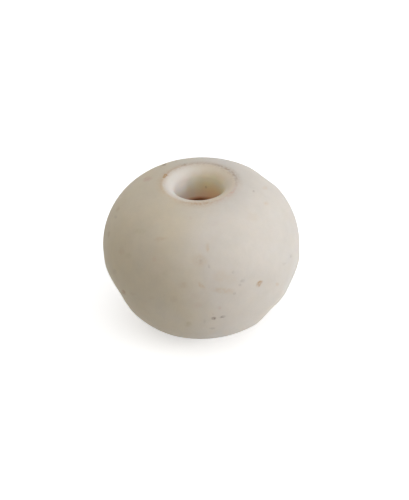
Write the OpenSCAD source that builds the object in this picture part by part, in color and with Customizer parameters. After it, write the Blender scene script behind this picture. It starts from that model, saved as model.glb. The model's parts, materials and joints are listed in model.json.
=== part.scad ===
// Rope stopper ball
//
// A slightly flattened ball with a bore right through it, made as one piece.
// It is threaded on a rope, where it stops against an eye, a block or the edge
// of a hole. The bore flares into a rounded mouth at each end, so that the rope
// bends over no edge, and a narrow flat ring, the land, lies round each mouth.
// The ball can stand on either land.
//
// The bore runs along Z, and the origin is the middle of the bore.

/* [Ball] */
// Width of the ball across its widest part
ball_d = 32; // [28:0.5:36]
// Height of the ball, from one land to the other
ball_h = 24.8; // [23:0.2:28]
// Height of the straight belt round the widest part
belt_h = 1.8; // [0.6:0.2:5]

/* [Bore] */
// Width of the straight bore that the rope runs through
bore_d = 8; // [5:0.5:10]
// Radius of the rounded mouth at each end of the bore
mouth_r = 1.6; // [1:0.1:2.5]
// Width of the land between each mouth and the side of the ball
land_w = 0.4; // [0.15:0.05:0.8]

/* [Worn hollows] */
// Radius of the shallow scoop that wear has left at each hollow
scoop_r = 30; // [20:1:60]
// Direction of the deep hollow, in degrees round the bore from +X
deep_turn = 202; // [150:1:240]
// Height of the deep hollow above the middle of the ball
deep_height = -5.8; // [-7:0.2:6]
// Depth of the deep hollow below the round side
deep_depth = 1.2; // [0.3:0.1:1.5]
// Direction of the middling hollow, in degrees round the bore from +X
mid_turn = 327; // [320:1:333]
// Height of the middling hollow above the middle of the ball
mid_height = -7.4; // [-8:0.2:6]
// Depth of the middling hollow below the round side
mid_depth = 0.75; // [0.2:0.05:1]
// Direction of the long hollow, in degrees round the bore from +X
long_turn = 340; // [336:1:359]
// Height of the long hollow above the middle of the ball
long_height = -4.4; // [-7:0.2:6]
// Depth of the long hollow below the round side
long_depth = 0.6; // [0.2:0.05:1]
// Direction of the slight hollow, in degrees round the bore from +X
slight_turn = 34; // [10:1:80]
// Height of the slight hollow above the middle of the ball
slight_height = 9; // [4:0.2:9.4]
// Depth of the slight hollow below the round side
slight_depth = 0.25; // [0.1:0.05:0.5]

/* [Hidden] */

ball_r = ball_d / 2;
half_h = ball_h / 2;
half_belt = belt_h / 2;
bore_r = bore_d / 2;

// The land lies from flare_r, where the mouth ends, out to land_r
flare_r = bore_r + mouth_r;
land_r = flare_r + land_w;

// In section the side is an arc above the belt and one below it, each tangent to
// the belt and run out to its land. Their centres lie side_x off the bore's axis.
arc_h = half_h - half_belt;
side_x = (pow(ball_r, 2) - pow(land_r, 2) - pow(arc_h, 2)) / (2 * (ball_r - land_r));
side_r = ball_r - side_x;

// How far a cut runs past the face that it opens
past = 1;

ball_facets = 84;
mouth_facets = 48;
scoop_facets = 240;

// Half section of the ball before it is bored, with X as the radius
module side_section() {
  translate([0, -half_belt])
    square([ball_r, belt_h]);
  shoulder_section();
  mirror([0, 1])
    shoulder_section();
}

// Half section of all that lies above the belt
module shoulder_section() {
  intersection() {
    translate([side_x, half_belt])
      circle(r = side_r, $fn = ball_facets);
    translate([0, half_belt])
      square([ball_r, arc_h]);
  }
}

// Half section of the rounded flare that opens the bore to the upper land
module mouth_section() {
  difference() {
    translate([0, half_h - mouth_r])
      square([flare_r, mouth_r + past]);
    translate([flare_r, half_h - mouth_r])
      circle(r = mouth_r, $fn = mouth_facets);
  }
}

// Half section of the whole way through: the straight bore and both mouths
module bore_section() {
  translate([0, -half_h - past])
    square([bore_r, ball_h + 2 * past]);
  mouth_section();
  mirror([0, 1])
    mouth_section();
}

// The space of a worn hollow, cut square to the side at the given height, which
// lies above the belt or below it
module worn_hollow(turn, height, depth) {
  arc_mid = sign(height) * half_belt;
  rotate([0, 0, turn])
    translate([side_x, 0, arc_mid])
      rotate([0, -asin((height - arc_mid) / side_r), 0])
        translate([side_r - depth + scoop_r, 0, 0])
          sphere(r = scoop_r, $fn = scoop_facets);
}

module stopper_ball() {
  color("antiquewhite")
    difference() {
      rotate_extrude($fn = ball_facets)
        difference() {
          side_section();
          bore_section();
        }
      worn_hollow(deep_turn, deep_height, deep_depth);
      worn_hollow(mid_turn, mid_height, mid_depth);
      worn_hollow(long_turn, long_height, long_depth);
      worn_hollow(slight_turn, slight_height, slight_depth);
    }
}

stopper_ball();
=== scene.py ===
"""Looks of a worn rope stopper ball: one dense piece in place of the plain solid, its stains, a camera and a
plain studio."""
import json
import random
from math import asin, atan2, cos, hypot, pi, radians, sin, tau

import bmesh
import bpy
from mathutils import Euler, Matrix, Vector
from mathutils.bvhtree import BVHTree


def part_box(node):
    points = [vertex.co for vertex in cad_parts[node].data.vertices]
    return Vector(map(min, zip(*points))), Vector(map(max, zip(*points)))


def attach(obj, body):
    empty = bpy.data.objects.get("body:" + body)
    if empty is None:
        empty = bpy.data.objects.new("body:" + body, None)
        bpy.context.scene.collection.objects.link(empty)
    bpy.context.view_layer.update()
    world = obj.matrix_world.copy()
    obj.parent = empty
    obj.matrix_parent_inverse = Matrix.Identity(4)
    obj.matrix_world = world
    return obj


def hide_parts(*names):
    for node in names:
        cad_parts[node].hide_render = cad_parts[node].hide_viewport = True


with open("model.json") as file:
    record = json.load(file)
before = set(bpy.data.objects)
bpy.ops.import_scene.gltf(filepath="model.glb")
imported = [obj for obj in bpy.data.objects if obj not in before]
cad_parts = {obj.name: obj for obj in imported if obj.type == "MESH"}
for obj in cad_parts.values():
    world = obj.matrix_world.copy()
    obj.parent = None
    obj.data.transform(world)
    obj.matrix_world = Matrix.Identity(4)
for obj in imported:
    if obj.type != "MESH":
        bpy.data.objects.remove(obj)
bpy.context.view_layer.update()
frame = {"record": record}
MM = 0.001

# ---------------------------------------------------------------- sizes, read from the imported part
low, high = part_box("stopper_ball")
mounts = {mount["name"]: mount for mount in frame["record"]["mounts"]}
bore = mounts["rope_bore"]["dims"]
BALL_R = high.x
HALF_H = high.z
BORE_R = bore["r_mm"] * MM
MOUTH_R = HALF_H - bore["length_mm"] * MM / 2
FLARE_R = BORE_R + MOUTH_R
LAND_R = 2 * mounts["lower_land"]["pos_m"][0] - FLARE_R
# In section the side is a short straight belt with an arc above it and one below, each
# tangent to the belt and run out to its land. The belt's height is repeated from part.scad.
HALF_BELT = 0.9 * MM
ARC_H = HALF_H - HALF_BELT
SIDE_X = (BALL_R ** 2 - LAND_R ** 2 - ARC_H ** 2) / (2 * (BALL_R - LAND_R))
SIDE_R = BALL_R - SIDE_X

# ---------------------------------------------------------------- how fine the piece is
SIDE_STEPS = 78
BELT_STEPS = 8
MOUTH_STEPS = 16
BORE_STEPS = 26
LAND_STEPS = 2
ROUND_STEPS = 400
# Points nearer than this are one point
WELD = 0.001 * MM

# ---------------------------------------------------------------- wear of the shape
# Each place: turn round the bore in degrees from +X, height over the middle, depth and reach, in millimetres.
# A negative depth is a swell.
WORN_PLACES = [
    (206.2, -6.9, 0.38, 11.0),
    (200.2, -4.6, 0.48, 5.5),
    (326.1, -7.2, 0.70, 4.6),
    (338.7, -4.0, 0.77, 5.2),
    (339.9, -3.7, -0.14, 9.9),
    (32.5, 8.9, 0.32, 3.0),
    (126.6, 11.44, -0.20, 0.9),
]
# Over this height next to a land the wear fades out
WEAR_FADE = 0.6 * MM
# How far off the side a point may lie and still count as on it
SIDE_SLACK = 0.01 * MM

# ---------------------------------------------------------------- view, in pixels of the 409 by 500 frame
FRAME_W, FRAME_H = 409, 500
BALL_AT = (200.78, 246.37)
PX_PER_MM = 6.106
METRE_PER_PX = MM / PX_PER_MM
# Pixels are counted by their centres, so the middle lies half a pixel short of half the size
FRAME_MIDDLE = ((FRAME_W - 1) / 2, (FRAME_H - 1) / 2)
CAMERA_FAR = 0.224
CAMERA_RISE = radians(34.9)
CAMERA_ROLL = radians(2.1)
CAMERA_CLIP = (0.01, 20)
SENSOR = 36.0

# ---------------------------------------------------------------- light
# Each lamp: name, direction it stands in (turn from +X, rise), softness as an angle, all in
# degrees, and strength
LAMPS = [
    ("window", -20, 12, 40, 2.05),
    ("ceiling", 0, 90, 90, 1.83),
]
ROOM_LIGHT = 0.02
FLOOR_TONE = 0.85
FLOOR_LIFT = 0.58
FLOOR_REACH = 1.5
# The floor lies a hair under the land, so that the two don't share a plane
FLOOR_GAP = 0.01 * MM

# ---------------------------------------------------------------- plastic
# How far light spreads inside the plastic, in metres, and how far each colour of it goes as a share of that
GLOW = 1.0
GLOW_DEPTH = 4 * MM
GLOW_REACH = (1.0, 0.85, 0.7)
# Colour of the outside from its -X edge, which is yellower, to its +X edge; -X is the side turned away from
# the window lamp
OUTSIDE = [
    (0.00, (0.69, 0.585, 0.41)),
    (0.30, (0.70, 0.615, 0.475)),
    (0.55, (0.685, 0.63, 0.56)),
    (1.00, (0.66, 0.62, 0.57)),
]
# Colour of the mouth and bore by depth below the land, in millimetres, towards -X and towards +X. Between
# about 1 and 5 mm deep the walls are painted near white, lighter than the outside: painted light that
# brightens the bore. Their warmer tone towards +X and lower down is partly stain and partly painted warm
# bounce light.
INSIDE_LEFT_WITH_PAINTED_LIGHT = [
    (0.0, (0.68, 0.63, 0.57)),
    (1.0, (0.79, 0.74, 0.70)),
    (2.0, (0.95, 0.90, 0.86)),
    (3.5, (0.98, 0.93, 0.91)),
    (5.0, (0.98, 0.90, 0.87)),
    (5.45, (0.78, 0.52, 0.38)),
    (5.7, (0.36, 0.16, 0.07)),
    (6.6, (0.34, 0.16, 0.07)),
    (8.0, (0.60, 0.44, 0.30)),
    (12.4, (0.66, 0.52, 0.37)),
]
INSIDE_RIGHT_WITH_PAINTED_LIGHT = [
    (0.0, (0.68, 0.59, 0.47)),
    (0.6, (0.79, 0.70, 0.55)),
    (1.2, (0.95, 0.87, 0.69)),
    (2.0, (0.98, 0.91, 0.77)),
    (3.5, (0.98, 0.83, 0.58)),
    (5.0, (0.94, 0.71, 0.47)),
    (5.45, (0.67, 0.35, 0.17)),
    (5.7, (0.34, 0.13, 0.04)),
    (6.6, (0.34, 0.16, 0.06)),
    (8.0, (0.60, 0.44, 0.30)),
    (12.4, (0.66, 0.52, 0.37)),
]
# Dirt along the crease between the land and the side: turn round the bore in degrees from +X,
# colour, strength
CREASE_DIRT = [
    (0, (0.45, 0.32, 0.22), 0.55),
    (10, (0.36, 0.24, 0.15), 0.60),
    (32, (0.33, 0.21, 0.12), 0.72),
    (57, (0.35, 0.23, 0.13), 0.60),
    (72, (0.42, 0.29, 0.19), 0.50),
    (90, (0.45, 0.31, 0.21), 0.60),
    (118, (0.48, 0.32, 0.20), 0.50),
    (150, (0.46, 0.28, 0.15), 0.50),
    (188, (0.58, 0.41, 0.24), 0.55),
    (223, (0.58, 0.43, 0.28), 0.35),
    (270, (0.53, 0.37, 0.23), 1.00),
    (313, (0.58, 0.41, 0.30), 0.50),
    (342, (0.58, 0.42, 0.33), 0.40),
]
STAIN_COLOURS = {
    "rust": (0.42, 0.22, 0.06),
    "tan": (0.60, 0.44, 0.28),
    "brown": (0.36, 0.22, 0.13),
    "dark": (0.16, 0.10, 0.07),
    "pink": (0.62, 0.42, 0.33),
    "olive": (0.50, 0.42, 0.24),
}
# Marks that the camera sees: kind, pixel across, pixel down, reach across and up in pixels,
# lean in degrees, strength
MARKS = [
    ("rust", 165.0, 175.3, 4.0, 2.5, 45, 0.82),
    ("rust", 259.0, 283.0, 5.4, 3.0, 42, 0.58),
    ("rust", 123.0, 291.5, 3.6, 3.0, -50, 0.40),
    ("rust", 132.3, 293.5, 5.0, 2.5, 0, 0.10),
    ("rust", 108.2, 234.0, 2.0, 4.5, -8, 0.19),
    ("rust", 117.0, 208.8, 2.9, 4.0, -20, 0.17),
    ("tan", 177.5, 168.4, 11.4, 2.2, 22, 0.14),
    ("brown", 183.6, 164.3, 4.2, 1.6, 20, 0.32),
    ("brown", 113.8, 271.5, 4.1, 3.8, 0, 0.14),
    ("brown", 173.5, 298.3, 5.4, 4.8, 0, 0.08),
    ("tan", 252.5, 216.7, 9.1, 5.9, 0, 0.10),
    ("tan", 265.7, 202.9, 3.9, 2.9, 0, 0.27),
    ("tan", 264.3, 187.4, 3.9, 2.6, 0, 0.21),
    ("tan", 277.0, 283.6, 3.1, 2.9, 0, 0.26),
    ("tan", 207.0, 247.0, 2.3, 6.5, 4, 0.39),
    ("tan", 199.3, 260.0, 10.4, 7.8, -20, 0.21),
    ("tan", 220.0, 276.0, 10.4, 7.8, 0, 0.12),
    ("tan", 229.0, 278.5, 7.8, 6.5, 0, 0.10),
    ("tan", 223.0, 290.0, 15.6, 3.9, -4, 0.28),
    ("tan", 200.7, 285.0, 6.5, 2.6, -45, 0.40),
    ("tan", 182.5, 284.3, 5.9, 4.5, -15, 0.25),
    ("tan", 160.0, 238.4, 9.1, 2.9, 4, 0.28),
    ("tan", 121.0, 250.7, 4.5, 5.2, 0, 0.31),
    ("tan", 151.0, 297.5, 4.5, 3.2, 0, 0.13),
    ("dark", 205.7, 186.4, 1.8, 1.8, 0, 0.28),
    ("dark", 253.2, 190.8, 1.5, 1.3, 0, 0.22),
    ("dark", 290.7, 255.7, 2.0, 2.0, 0, 0.14),
    ("dark", 284.3, 262.9, 4.4, 1.7, 22, 0.08),
    ("dark", 200.0, 261.0, 1.8, 3.5, -20, 0.09),
    ("dark", 208.6, 265.7, 1.8, 2.9, 12, 0.17),
    ("dark", 232.9, 271.4, 2.1, 2.4, 0, 0.14),
    ("dark", 242.0, 280.7, 3.7, 2.0, 22, 0.15),
    ("dark", 239.3, 284.3, 2.6, 1.8, 0, 0.13),
    ("dark", 233.6, 292.9, 2.1, 2.0, 0, 0.19),
    ("dark", 213.0, 317.8, 3.2, 2.2, 0, 0.59),
    ("dark", 222.0, 316.2, 4.4, 1.5, 14, 0.45),
    ("dark", 212.3, 314.0, 1.5, 1.5, 0, 0.11),
    ("dark", 212.0, 328.0, 4.0, 1.7, 0, 0.15),
    ("dark", 204.3, 321.0, 2.4, 3.3, 0, 0.09),
    ("dark", 115.0, 216.5, 2.0, 2.0, 0, 0.18),
    ("dark", 163.5, 164.6, 3.7, 1.5, 20, 0.45),
    ("pink", 231.5, 192.2, 7.5, 2.2, 49, 0.50),
    ("pink", 147.0, 178.5, 6.9, 4.0, 12, 0.48),
    ("pink", 195.0, 295.0, 5.6, 4.2, 0, 0.08),
    ("pink", 197.0, 305.0, 6.9, 3.8, 0, 0.18),
    ("pink", 219.0, 307.5, 2.2, 2.2, 0, 0.28),
    ("pink", 190.0, 217.4, 2.2, 2.2, 0, 0.14),
    ("pink", 213.0, 223.0, 7.5, 4.4, 0, 0.08),
    ("pink", 154.0, 258.3, 3.5, 4.2, 0, 0.19),
    ("olive", 187.8, 323.5, 5.0, 3.8, 0, 0.28),
    ("olive", 128.0, 255.0, 5.0, 4.4, 0, 0.20),
    ("olive", 139.7, 230.7, 10.0, 3.8, 0, 0.17),
    ("olive", 165.0, 272.7, 3.8, 3.8, 0, 0.09),
]
# How much of a mark's reach is at full strength, before it fades
MARK_CORE = 0.3
MARK_DEPTH = 3 * MM
MARK_NUDGE = 0.001 * MM
# Marks of like kinds on the sides that the camera doesn't see: how many, the start of their
# random draws, the kinds to draw from and which of those are small and strong
UNSEEN_MARKS = 26
UNSEEN_SEED = 7
UNSEEN_KINDS = ("rust", "tan", "tan", "tan", "brown", "dark", "dark", "pink", "olive")
SMALL_KINDS = ("rust", "dark")
# Their least and most reach in millimetres, their height as a share of it, and their strength
SMALL_REACH = (0.3, 0.6)
WIDE_REACH = (0.5, 1.6)
UNSEEN_SQUASH = (0.35, 0.9)
SMALL_STRENGTH = (0.3, 0.8)
WIDE_STRENGTH = (0.2, 0.45)

# Noise patterns: patches to a millimetre, detail, roughness
BROAD_NOISE = (0.09, 2, 0.5)
PATCHY_NOISE = (0.45, 4, 0.6)
GRAIN_NOISE = (2.6, 3, 0.6)
RAGGED_NOISE = (1.1, 3, 0.6)
# What a pattern is multiplied by and what is then added, where it shades or shifts a part
YELLOW_DRIFT = (0.5, 0.25)
PATCHY_SHADE = (0.14, 0.93)
GRAIN_SHADE = (0.05, 0.975)
DEPTH_WANDER = (0.5 * MM, -0.25 * MM)
CREASE_WANDER = (0.3 * MM, -0.15 * MM)
PATCHY_MATT = (0.2, 0.5)
# How much darker the side is next to each land, top and bottom, and how far out that darkening runs
NEAR_LAND_DARKENING = 0.92
NEAR_LAND_REACH = 5 * MM
# Across the bore, from the colours towards -X to those towards +X
WALL_BLEND = (-3.6 * MM, 2.6 * MM)
# How far past the land's inner edge the colour of the inside is full
MOUTH_BLEND = 0.1 * MM
# Distance off the crease from no dirt to full dirt: its line, and the fainter halo round it
CREASE_LINE = (0.45 * MM, 0.12 * MM)
CREASE_HALO = (1.3 * MM, 0.1 * MM)
HALO_STRENGTH = 0.6
# Depth below the land over which the dirt of the crease ends
CREASE_END = (0.5 * MM, 1.2 * MM)
# How the grain breaks up the crease's dirt and the stains: grain from, grain to, weakest, strongest
CREASE_BREAKS = (0.38, 0.58, 0.35, 1)
STAIN_BREAKS = (0.36, 0.62, 0.4, 1.3)
# How far the edges of a stain stray
STAIN_STRAY = 0.5 * MM
# How much rougher the plastic is under a full stain
STAIN_MATT = 0.15
PIT_STRENGTH = 0.5
PIT_DEPTH = 0.03 * MM


def smooth(t):
    """Goes from 0 to 1 with soft ends as t does."""
    t = min(max(t, 0.0), 1.0)
    return t * t * (3 - 2 * t)


# ---------------------------------------------------------------- camera
def make_camera():
    data = bpy.data.cameras.new("camera")
    data.sensor_width = SENSOR
    data.lens = PX_PER_MM / MM * CAMERA_FAR / FRAME_H * SENSOR
    data.clip_start, data.clip_end = CAMERA_CLIP
    camera = bpy.data.objects.new("camera", data)
    bpy.context.scene.collection.objects.link(camera)
    back = Vector((0, -cos(CAMERA_RISE), sin(CAMERA_RISE)))
    right = Vector((1, 0, 0))
    right = Matrix.Rotation(CAMERA_ROLL, 3, -back) @ right
    up = back.cross(right)
    # The ball sits a little up and left of the frame's middle, so the camera looks past its centre
    aside = (FRAME_MIDDLE[0] - BALL_AT[0]) * METRE_PER_PX
    above = -(FRAME_MIDDLE[1] - BALL_AT[1]) * METRE_PER_PX
    look_at = right * aside + up * above
    place = back * CAMERA_FAR
    away = (place - look_at).normalized()
    side = up.cross(away).normalized()
    turn = Matrix((side, away.cross(side), away)).transposed()
    camera.matrix_world = Matrix.Translation(place) @ turn.to_4x4()
    bpy.context.scene.camera = camera
    return camera


# ---------------------------------------------------------------- the ball
def turned_ball():
    """The ball's section drawn as a chain of edges, then spun round the bore."""
    bm = bmesh.new()
    start = bm.verts.new((LAND_R, 0, -HALF_H))
    last = start

    def arc(centre_x, centre_z, angle, steps):
        """Carries the chain round a centre; a positive angle turns +X towards +Z."""
        made = bmesh.ops.spin(bm, geom=[last], cent=(centre_x, 0, centre_z), axis=(0, -1, 0),
                              angle=angle, steps=steps)
        return [v for v in made["geom_last"] if isinstance(v, bmesh.types.BMVert)][0]

    def straight(x, z, steps):
        """Carries the chain straight to a point."""
        step = (Vector((x, 0, z)) - last.co) / steps
        made = bmesh.ops.spin(bm, geom=[last], cent=(0, 0, 0), axis=(0, -1, 0), dvec=step,
                              angle=0, steps=steps)
        return [v for v in made["geom_last"] if isinstance(v, bmesh.types.BMVert)][0]

    sweep = atan2(ARC_H, LAND_R - SIDE_X)
    last = arc(SIDE_X, -HALF_BELT, sweep, SIDE_STEPS)
    last = straight(BALL_R, HALF_BELT, BELT_STEPS)
    last = arc(SIDE_X, HALF_BELT, sweep, SIDE_STEPS)
    last = straight(FLARE_R, HALF_H, LAND_STEPS)
    last = arc(FLARE_R, HALF_H - MOUTH_R, pi / 2, MOUTH_STEPS)
    last = straight(BORE_R, MOUTH_R - HALF_H, BORE_STEPS)
    last = arc(FLARE_R, MOUTH_R - HALF_H, pi / 2, MOUTH_STEPS)
    last = straight(LAND_R, -HALF_H, LAND_STEPS)
    bmesh.ops.remove_doubles(bm, verts=bm.verts[:], dist=WELD)
    bmesh.ops.spin(bm, geom=bm.verts[:] + bm.edges[:], cent=(0, 0, 0), axis=(0, 0, 1),
                   angle=tau, steps=ROUND_STEPS, use_merge=True)
    bmesh.ops.remove_doubles(bm, verts=bm.verts[:], dist=WELD)
    bmesh.ops.recalc_face_normals(bm, faces=bm.faces[:])
    for face in bm.faces:
        face.smooth = True
    return bm


def arc_mid(height):
    """Height of the centre that the side is rounded about at a height over the middle of the ball."""
    return min(max(height, -HALF_BELT), HALF_BELT)


def on_side(turn, height):
    """The point of the round side at a turn round the bore and a height over the middle of the ball."""
    slope = asin((height - arc_mid(height)) / SIDE_R)
    across = SIDE_X + SIDE_R * cos(slope)
    return Vector((across * cos(turn), across * sin(turn), height))


def wear(bm):
    """Moves the side's points in at the hollows. The lands and the bore stay as turned."""
    places = [(on_side(radians(turn), height * MM), depth * MM, reach * MM)
              for turn, height, depth, reach in WORN_PLACES]
    for vert in bm.verts:
        point = vert.co
        across = hypot(point.x, point.y)
        rise = point.z - arc_mid(point.z)
        if across < LAND_R - SIDE_SLACK or hypot(across - SIDE_X, rise) < SIDE_R - SIDE_SLACK:
            continue
        keep = smooth((HALF_H - abs(point.z)) / WEAR_FADE)
        sink = sum(depth * smooth(1 - (point - centre).length / reach) for centre, depth, reach in places)
        out = Vector((point.x * (1 - SIDE_X / across), point.y * (1 - SIDE_X / across), rise)).normalized()
        vert.co = point - out * sink * keep


def as_piece(bm, name, material):
    mesh = bpy.data.meshes.new(name)
    bm.to_mesh(mesh)
    bm.free()
    mesh.materials.append(material)
    piece = bpy.data.objects.new(name, mesh)
    bpy.context.scene.collection.objects.link(piece)
    return piece


# ---------------------------------------------------------------- materials
def new_material(name):
    material = bpy.data.materials.new(name)
    material.use_nodes = True
    material.node_tree.nodes.clear()
    return material, material.node_tree.nodes, material.node_tree.links


def number(nodes, links, operation, first, second=None, third=None, clamp=False):
    """A Math node; each of its inputs is a number or another node's output."""
    made = nodes.new("ShaderNodeMath")
    made.operation = operation
    made.use_clamp = clamp
    for socket, value in zip(made.inputs, (first, second, third)):
        if isinstance(value, (int, float)):
            socket.default_value = value
        elif value is not None:
            links.new(value, socket)
    return made.outputs[0]


def ramp(nodes, links, value, stops, mode="LINEAR"):
    """A Color Ramp; each stop is a place from 0 to 1, a colour and, if it has one, a strength."""
    made = nodes.new("ShaderNodeValToRGB")
    made.color_ramp.interpolation = mode
    elements = made.color_ramp.elements
    while len(elements) < len(stops):
        elements.new(0.5)
    for element, stop in zip(elements, stops):
        element.position = stop[0]
        element.color = (*stop[1], stop[2] if len(stop) > 2 else 1)
    links.new(value, made.inputs[0])
    return made


def slide(nodes, links, value, start, end, low=0.0, high=1.0):
    """Goes softly from low to high as a value goes from start to end."""
    made = nodes.new("ShaderNodeMapRange")
    made.interpolation_type = "SMOOTHSTEP"
    for name, setting in (("From Min", start), ("From Max", end), ("To Min", low), ("To Max", high)):
        made.inputs[name].default_value = setting
    links.new(value, made.inputs["Value"])
    return made.outputs[0]


def mixed(nodes, links, share, under, over, blend="MIX"):
    """One colour over another by a share; each of the three is a value or another node's output."""
    made = nodes.new("ShaderNodeMix")
    made.data_type = "RGBA"
    made.blend_type = blend
    for socket, value in ((made.inputs[0], share), (made.inputs[6], under), (made.inputs[7], over)):
        if isinstance(value, bpy.types.NodeSocket):
            links.new(value, socket)
        else:
            socket.default_value = (*value, 1) if isinstance(value, tuple) else value
    return made.outputs[2]


def cloud(nodes, links, coordinates, pattern):
    """A Noise Texture from one of the noise patterns."""
    per_mm, detail, roughness = pattern
    made = nodes.new("ShaderNodeTexNoise")
    made.inputs["Scale"].default_value = per_mm / MM
    made.inputs["Detail"].default_value = detail
    made.inputs["Roughness"].default_value = roughness
    links.new(coordinates, made.inputs["Vector"])
    return made


def stain_mark_group():
    """One soft-edged spot laid over those under it, from its centre, turn and size.

    Its place is nudged, by far less than can be seen, by what lies under it. The spots then
    have to be worked out one after another, so that the shader holds only one at a time."""
    group = bpy.data.node_groups.new("stain mark", "ShaderNodeTree")
    for name, kind in (("Coordinates", "Vector"), ("Centre", "Vector"), ("Turn", "Vector"),
                       ("Size", "Vector"), ("Core", "Float"), ("Strength", "Float"),
                       ("Under", "Float")):
        group.interface.new_socket(name=name, in_out="INPUT", socket_type="NodeSocket" + kind)
    group.interface.new_socket(name="Mask", in_out="OUTPUT", socket_type="NodeSocketFloat")
    nodes, links = group.nodes, group.links
    given = nodes.new("NodeGroupInput")
    result = nodes.new("NodeGroupOutput")
    local = nodes.new("ShaderNodeMapping")
    local.vector_type = "TEXTURE"
    for ours, its in (("Centre", "Location"), ("Turn", "Rotation"), ("Size", "Scale")):
        links.new(given.outputs[ours], local.inputs[its])
    nudged = nodes.new("ShaderNodeVectorMath")
    nudged.operation = "MULTIPLY_ADD"
    links.new(given.outputs["Under"], nudged.inputs[0])
    nudged.inputs[1].default_value = (MARK_NUDGE,) * 3
    links.new(given.outputs["Coordinates"], nudged.inputs[2])
    links.new(nudged.outputs[0], local.inputs["Vector"])
    reach = nodes.new("ShaderNodeVectorMath")
    reach.operation = "LENGTH"
    links.new(local.outputs[0], reach.inputs[0])
    cover = nodes.new("ShaderNodeMapRange")
    cover.interpolation_type = "SMOOTHSTEP"
    cover.inputs["From Min"].default_value = 1
    links.new(given.outputs["Core"], cover.inputs["From Max"])
    links.new(given.outputs["Strength"], cover.inputs["To Max"])
    links.new(reach.outputs["Value"], cover.inputs["Value"])
    top = number(nodes, links, "MAXIMUM", cover.outputs[0], given.outputs["Under"])
    links.new(top, result.inputs["Mask"])
    return group


def seen_marks(tree, camera):
    """The listed marks, each found on the ball behind its pixel: kind, centre, turn, size, strength."""
    focal = camera.data.lens / SENSOR * FRAME_H
    facing = camera.matrix_world.to_3x3()
    start = camera.matrix_world.translation
    marks = []
    for kind, across, down, reach_x, reach_y, lean, strength in MARKS:
        ray = facing @ Vector((across - FRAME_MIDDLE[0], FRAME_MIDDLE[1] - down, -focal))
        centre = tree.ray_cast(start, ray.normalized())[0]
        if centre is None:
            centre = tree.find_nearest(start + ray.normalized() * CAMERA_FAR)[0]
        turn = (facing @ Matrix.Rotation(radians(lean), 3, "Z")).to_euler()
        size = (reach_x * METRE_PER_PX, reach_y * METRE_PER_PX, MARK_DEPTH)
        marks.append((kind, centre, turn, size, strength))
    return marks


def unseen_marks(tree, camera):
    """Marks strewn on the far side and the underside, always in the same places."""
    dice = random.Random(UNSEEN_SEED)
    marks = []
    while len(marks) < UNSEEN_MARKS:
        ray = Vector((dice.gauss(0, 1), dice.gauss(0, 1), dice.gauss(0, 1))).normalized()
        centre, normal = tree.ray_cast(ray * 2 * BALL_R, -ray)[:2]
        if centre is None or normal.dot(camera.matrix_world.translation - centre) > 0:
            continue
        kind = dice.choice(UNSEEN_KINDS)
        small = kind in SMALL_KINDS
        lean = Euler((0, 0, dice.uniform(0, pi))).to_quaternion()
        turn = (normal.to_track_quat("Z", "Y") @ lean).to_euler()
        across = dice.uniform(*(SMALL_REACH if small else WIDE_REACH))
        size = (across * MM, across * dice.uniform(*UNSEEN_SQUASH) * MM, MARK_DEPTH)
        strength = dice.uniform(*(SMALL_STRENGTH if small else WIDE_STRENGTH))
        marks.append((kind, centre, turn, size, strength))
    return marks


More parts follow.
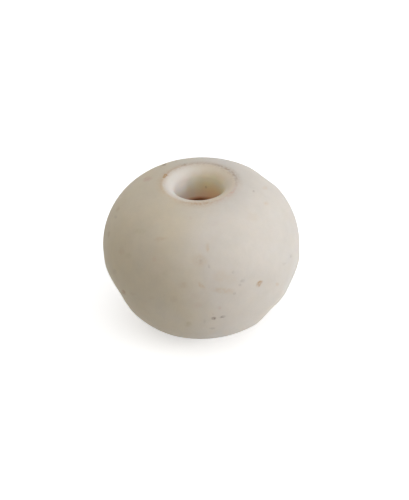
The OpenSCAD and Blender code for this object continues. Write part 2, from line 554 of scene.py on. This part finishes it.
def worn_ivory_plastic(marks):
    """The plastic, built up in layers: outside, inside, dirt at the crease, then stains."""
    material, nodes, links = new_material("worn_ivory_plastic")
    place = nodes.new("ShaderNodeTexCoord").outputs["Object"]
    axes = nodes.new("ShaderNodeSeparateXYZ")
    links.new(place, axes.inputs[0])
    across = number(nodes, links, "SQRT", number(
        nodes, links, "ADD", number(nodes, links, "MULTIPLY", axes.outputs[0], axes.outputs[0]),
        number(nodes, links, "MULTIPLY", axes.outputs[1], axes.outputs[1])))
    rise = number(nodes, links, "ABSOLUTE", axes.outputs[2])
    depth = number(nodes, links, "SUBTRACT", HALF_H, rise)
    broad = cloud(nodes, links, place, BROAD_NOISE)
    patchy = cloud(nodes, links, place, PATCHY_NOISE)
    grain = cloud(nodes, links, place, GRAIN_NOISE)

    # Outside: yellower towards -X, with soft patches
    along = number(nodes, links, "DIVIDE", axes.outputs[0], 2 * BALL_R)
    drift = number(nodes, links, "MULTIPLY_ADD", broad.outputs[0], *YELLOW_DRIFT)
    colour = ramp(nodes, links, number(nodes, links, "ADD", along, drift), OUTSIDE).outputs[0]
    shade = number(nodes, links, "MULTIPLY_ADD", patchy.outputs[0], *PATCHY_SHADE)
    shade = number(nodes, links, "MULTIPLY", shade, number(
        nodes, links, "MULTIPLY_ADD", grain.outputs[0], *GRAIN_SHADE))
    near_land = slide(nodes, links, across, LAND_R, LAND_R + NEAR_LAND_REACH, NEAR_LAND_DARKENING, 1)
    grey = nodes.new("ShaderNodeCombineColor")
    for socket in grey.inputs:
        links.new(number(nodes, links, "MULTIPLY", shade, near_land), socket)
    colour = mixed(nodes, links, 1.0, colour, grey.outputs[0], "MULTIPLY")

    # Inside of the mouth and bore, by depth, with painted light that makes the bore lighter than the outside
    wander = number(nodes, links, "MULTIPLY_ADD", patchy.outputs[0], *DEPTH_WANDER)
    deep = number(nodes, links, "DIVIDE", number(nodes, links, "ADD", depth, wander), HALF_H)
    left, right = (
        ramp(nodes, links, deep, [(mm * MM / HALF_H, tone) for mm, tone in stops]).outputs[0]
        for stops in (INSIDE_LEFT_WITH_PAINTED_LIGHT, INSIDE_RIGHT_WITH_PAINTED_LIGHT))
    towards_right = slide(nodes, links, axes.outputs[0], *WALL_BLEND)
    inner = mixed(nodes, links, towards_right, left, right)
    within = slide(nodes, links, across, LAND_R, FLARE_R - MOUTH_BLEND)
    colour = mixed(nodes, links, within, colour, inner)

    # Dirt caught along the crease round each land
    turn = number(nodes, links, "ARCTAN2", axes.outputs[1], axes.outputs[0])
    turn = number(nodes, links, "FRACT", number(nodes, links, "ADD", number(
        nodes, links, "DIVIDE", turn, tau), 1))
    stops = [(degrees / 360, tone, much) for degrees, tone, much in CREASE_DIRT]
    dirt = ramp(nodes, links, turn, stops + [(1.0, *CREASE_DIRT[0][1:])])
    gain, shift = CREASE_WANDER
    unsteady = number(nodes, links, "MULTIPLY_ADD", patchy.outputs[0], gain, shift - LAND_R)
    off = number(nodes, links, "ABSOLUTE", number(nodes, links, "ADD", across, unsteady))
    off = number(nodes, links, "ADD", off, slide(nodes, links, depth, *CREASE_END))
    line = slide(nodes, links, off, *CREASE_LINE)
    halo = slide(nodes, links, off, *CREASE_HALO, 0, HALO_STRENGTH)
    line = number(nodes, links, "MAXIMUM", line, halo)
    gaps = slide(nodes, links, grain.outputs[0], *CREASE_BREAKS)
    line = number(nodes, links, "MULTIPLY", line, gaps)
    line = number(nodes, links, "MULTIPLY", line, dirt.outputs[1])
    colour = mixed(nodes, links, line, colour, dirt.outputs[0])

    # Stains: every mark of a kind is gathered into one mask
    ragged = cloud(nodes, links, place, RAGGED_NOISE)
    ragged_by = nodes.new("ShaderNodeVectorMath")
    ragged_by.operation = "MULTIPLY_ADD"
    links.new(ragged.outputs["Color"], ragged_by.inputs[0])
    ragged_by.inputs[1].default_value = (STAIN_STRAY,) * 3
    links.new(place, ragged_by.inputs[2])
    centred = nodes.new("ShaderNodeVectorMath")
    centred.operation = "SUBTRACT"
    centred.inputs[1].default_value = (STAIN_STRAY / 2,) * 3
    links.new(ragged_by.outputs[0], centred.inputs[0])
    group = stain_mark_group()
    broken = slide(nodes, links, grain.outputs[0], *STAIN_BREAKS)
    stained = 0.0
    for kind, tone in STAIN_COLOURS.items():
        cover = None
        for mark_kind, centre, turned, size, strength in marks:
            if mark_kind != kind:
                continue
            mark = nodes.new("ShaderNodeGroup")
            mark.node_tree = group
            mark.inputs["Centre"].default_value = centre
            mark.inputs["Turn"].default_value = turned
            mark.inputs["Size"].default_value = size
            mark.inputs["Core"].default_value = MARK_CORE
            mark.inputs["Strength"].default_value = strength
            links.new(centred.outputs[0], mark.inputs["Coordinates"])
            if cover:
                links.new(cover, mark.inputs["Under"])
            cover = mark.outputs[0]
        cover = number(nodes, links, "MULTIPLY", cover, broken)
        stained = number(nodes, links, "MAXIMUM", cover, stained)
        colour = mixed(nodes, links, cover, colour, tone)

    out = nodes.new("ShaderNodeOutputMaterial")
    shader = nodes.new("ShaderNodeBsdfPrincipled")
    links.new(colour, shader.inputs["Base Color"])
    shader.inputs["Subsurface Weight"].default_value = GLOW
    shader.inputs["Subsurface Radius"].default_value = GLOW_REACH
    shader.inputs["Subsurface Scale"].default_value = GLOW_DEPTH
    matt = number(nodes, links, "MULTIPLY_ADD", patchy.outputs[0], *PATCHY_MATT)
    matt = number(nodes, links, "MULTIPLY_ADD", stained, STAIN_MATT, matt)
    links.new(matt, shader.inputs["Roughness"])
    pits = nodes.new("ShaderNodeBump")
    pits.inputs["Strength"].default_value = PIT_STRENGTH
    pits.inputs["Distance"].default_value = PIT_DEPTH
    links.new(grain.outputs[0], pits.inputs["Height"])
    links.new(pits.outputs[0], shader.inputs["Normal"])
    links.new(shader.outputs[0], out.inputs[0])
    return material


def studio_floor():
    """A pale matt floor that the camera sees as white wherever it is fully lit; it still takes a shadow."""
    material, nodes, links = new_material("studio_floor")
    out = nodes.new("ShaderNodeOutputMaterial")
    matt = nodes.new("ShaderNodeBsdfDiffuse")
    matt.inputs["Color"].default_value = (FLOOR_TONE, FLOOR_TONE, FLOOR_TONE, 1)
    lift = nodes.new("ShaderNodeEmission")
    both = nodes.new("ShaderNodeAddShader")
    links.new(seen_directly(nodes, links, 0, FLOOR_LIFT), lift.inputs["Strength"])
    links.new(matt.outputs[0], both.inputs[0])
    links.new(lift.outputs[0], both.inputs[1])
    links.new(both.outputs[0], out.inputs[0])
    return material


def seen_directly(nodes, links, otherwise, direct):
    """A strength with one value for what the camera, a glossy face or a clear one sees, and
    another for the rest."""
    path = nodes.new("ShaderNodeLightPath")
    seen = path.outputs["Is Camera Ray"]
    for kind in ("Is Glossy Ray", "Is Transmission Ray"):
        seen = number(nodes, links, "MAXIMUM", seen, path.outputs[kind])
    strength = nodes.new("ShaderNodeMapRange")
    strength.inputs["To Min"].default_value = otherwise
    strength.inputs["To Max"].default_value = direct
    links.new(seen, strength.inputs["Value"])
    return strength.outputs[0]


# ---------------------------------------------------------------- studio
def make_floor():
    bm = bmesh.new()
    bmesh.ops.create_grid(bm, x_segments=1, y_segments=1, size=FLOOR_REACH)
    bmesh.ops.translate(bm, verts=bm.verts[:], vec=(0, 0, -HALF_H - FLOOR_GAP))
    return as_piece(bm, "floor", studio_floor())


def make_lights():
    world = bpy.data.worlds.new("studio")
    bpy.context.scene.world = world
    world.use_nodes = True
    nodes, links = world.node_tree.nodes, world.node_tree.links
    nodes["Background"].inputs["Color"].default_value = (1, 1, 1, 1)
    links.new(seen_directly(nodes, links, ROOM_LIGHT, 1), nodes["Background"].inputs["Strength"])
    for name, turn, rise, softness, strength in LAMPS:
        lamp = bpy.data.lights.new(name, "SUN")
        lamp.energy = strength
        lamp.angle = radians(softness)
        lamp_object = bpy.data.objects.new(name, lamp)
        bpy.context.scene.collection.objects.link(lamp_object)
        turn, rise = radians(turn), radians(rise)
        towards = Vector((cos(turn) * cos(rise), sin(turn) * cos(rise), sin(rise)))
        lamp_object.rotation_euler = towards.to_track_quat("Z", "Y").to_euler()


camera = make_camera()
ball_mesh = turned_ball()
wear(ball_mesh)
skin = BVHTree.FromBMesh(ball_mesh)
marks = seen_marks(skin, camera) + unseen_marks(skin, camera)
ball = as_piece(ball_mesh, "worn_ball", worn_ivory_plastic(marks))
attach(ball, "root")
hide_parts("stopper_ball")
make_floor()
make_lights()
bpy.context.scene.view_settings.view_transform = "Standard"
